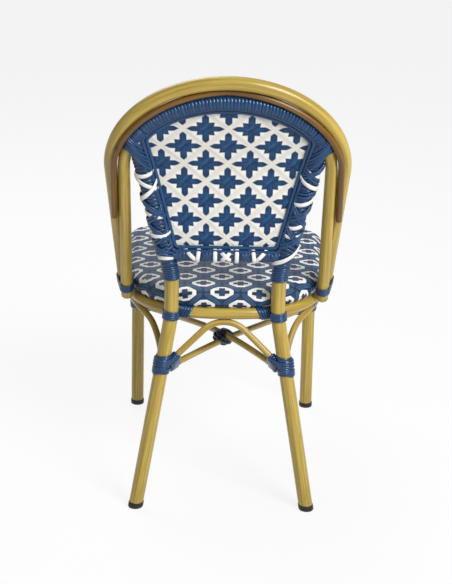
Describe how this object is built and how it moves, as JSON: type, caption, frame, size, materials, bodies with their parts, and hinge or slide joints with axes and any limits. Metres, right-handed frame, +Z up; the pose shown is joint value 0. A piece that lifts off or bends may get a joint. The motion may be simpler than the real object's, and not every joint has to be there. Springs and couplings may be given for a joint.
{
  "type": "bistro side chair",
  "caption": "Stacking bistro side chair with a bent bamboo-look tube frame, double hoop back and woven seat and back.",
  "frame": {"origin": "on the floor under the middle of the chair's bounding box", "axes": "+Z up, the sitter faces -Y, +X is the sitter's left"},
  "size_m": [0.4696, 0.5729, 0.8879],
  "materials": {
    "bamboo_paint": "honey bamboo-look lacquer with darker joints",
    "brown_paint": "brown bamboo-look lacquer",
    "blue_cane": "satin navy flat plastic cane",
    "blue_weave": "woven blue and white flat plastic cane",
    "white_weave": "woven white plastic cane with a blue flower pattern",
    "black_plastic": "black moulded plastic"
  },
  "bodies": {
    "root": {"back_bottom_rail": "bamboo_paint", "back_panel": "white_weave", "back_welt_front": "blue_cane", "back_welt_rear": "blue_cane", "centre_lash": "blue_cane", "cross_rod_left": "bamboo_paint", "cross_rod_right": "bamboo_paint", "front_arch": "bamboo_paint", "front_glide_left": "black_plastic", "front_glide_right": "black_plastic", "front_leg_lash_left": "blue_cane", "front_leg_lash_right": "blue_cane", "front_leg_left": "bamboo_paint", "front_leg_plug_left": "bamboo_paint", "front_leg_plug_right": "bamboo_paint", "front_leg_right": "bamboo_paint", "front_ring_lash_left": "blue_cane", "front_ring_lash_right": "blue_cane", "gusset_left": "blue_cane", "gusset_right": "blue_cane", "hoop_end_lash_left": "blue_cane", "hoop_end_lash_right": "blue_cane", "hoop_filler_rod": "brown_paint", "inner_hoop": "bamboo_paint", "inner_hoop_plug_left": "bamboo_paint", "inner_hoop_plug_right": "bamboo_paint", "outer_hoop": "bamboo_paint", "outer_hoop_plug_left": "bamboo_paint", "outer_hoop_plug_right": "bamboo_paint", "rail_lacing": "white_weave", "rear_arch": "bamboo_paint", "rear_glide_left": "black_plastic", "rear_glide_right": "black_plastic", "rear_leg_lash_left": "blue_cane", "rear_leg_lash_right": "blue_cane", "rear_leg_left": "bamboo_paint", "rear_leg_right": "bamboo_paint", "rear_ring_lash_left": "blue_cane", "rear_ring_lash_right": "blue_cane", "seat_crossbar_front": "bamboo_paint", "seat_crossbar_rear": "bamboo_paint", "seat_ring": "bamboo_paint", "seat_weave": "blue_weave", "side_arch_left": "bamboo_paint", "side_arch_right": "bamboo_paint", "stile_collar_left": "blue_cane", "stile_collar_right": "blue_cane", "stile_lacing_left": "blue_cane", "stile_lacing_right": "blue_cane", "top_wrap": "blue_cane"}
  },
  "joints": []
}
